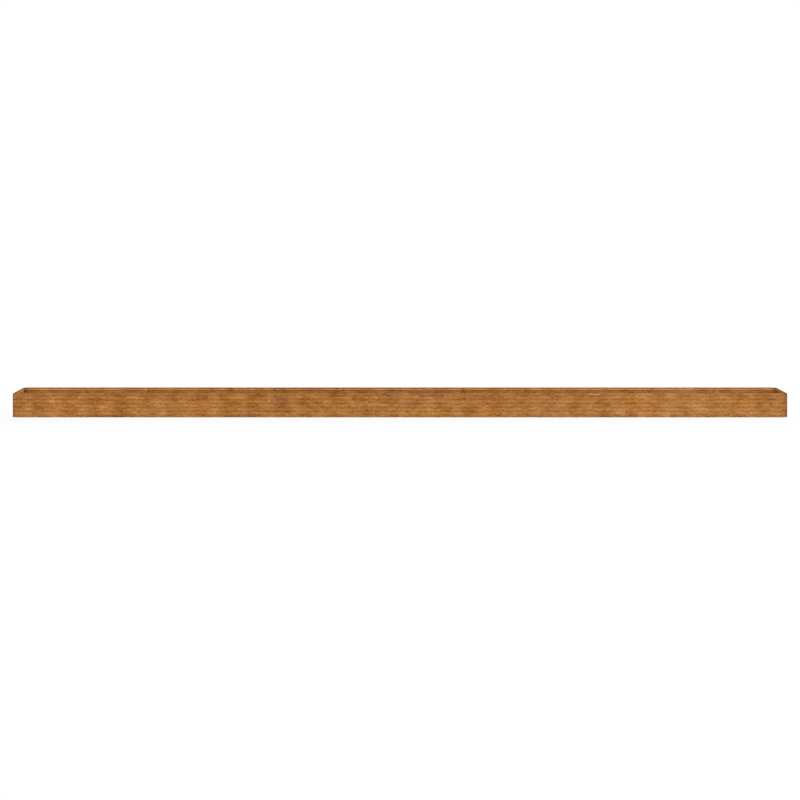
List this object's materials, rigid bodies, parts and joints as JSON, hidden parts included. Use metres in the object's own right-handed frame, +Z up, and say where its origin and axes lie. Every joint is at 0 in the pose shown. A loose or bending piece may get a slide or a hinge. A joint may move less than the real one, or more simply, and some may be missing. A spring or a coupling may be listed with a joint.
{
  "type": "corten steel planter",
  "caption": "Long narrow bottomless planter bed of rusted weathering steel: folded wall panels with inward rims bolted end to end, flat end panels and cross ties.",
  "frame": {"origin": "centre of the planter's outline on the ground, under the middle joint", "axes": "+X along the planter to the right end, the front wall faces -Y, +Z up"},
  "size_m": [11.2896, 0.4, 0.35],
  "materials": {
    "weathering_steel": "matte",
    "tie_steel": "matte",
    "fastener_steel": "matte"
  },
  "bodies": {
    "root": {"front_panel_01": "weathering_steel", "front_panel_02": "weathering_steel", "front_panel_03": "weathering_steel", "front_panel_04": "weathering_steel", "front_panel_05": "weathering_steel", "front_panel_06": "weathering_steel", "front_panel_07": "weathering_steel", "front_panel_08": "weathering_steel", "front_panel_09": "weathering_steel", "front_panel_10": "weathering_steel", "front_panel_11": "weathering_steel", "front_panel_12": "weathering_steel", "rear_panel_01": "weathering_steel", "rear_panel_02": "weathering_steel", "rear_panel_03": "weathering_steel", "rear_panel_04": "weathering_steel", "rear_panel_05": "weathering_steel", "rear_panel_06": "weathering_steel", "rear_panel_07": "weathering_steel", "rear_panel_08": "weathering_steel", "rear_panel_09": "weathering_steel", "rear_panel_10": "weathering_steel", "rear_panel_11": "weathering_steel", "rear_panel_12": "weathering_steel", "left_end_panel": "weathering_steel", "right_end_panel": "weathering_steel", "cross_tie_01": "tie_steel", "cross_tie_02": "tie_steel", "cross_tie_03": "tie_steel", "cross_tie_04": "tie_steel", "cross_tie_05": "tie_steel", "cross_tie_06": "tie_steel", "cross_tie_07": "tie_steel", "cross_tie_08": "tie_steel", "cross_tie_09": "tie_steel", "cross_tie_10": "tie_steel", "cross_tie_11": "tie_steel", "joint_bolts": "fastener_steel", "joint_washers": "fastener_steel", "joint_nuts": "fastener_steel", "corner_bolts": "fastener_steel", "corner_washers": "fastener_steel", "corner_nuts": "fastener_steel"}
  },
  "joints": []
}
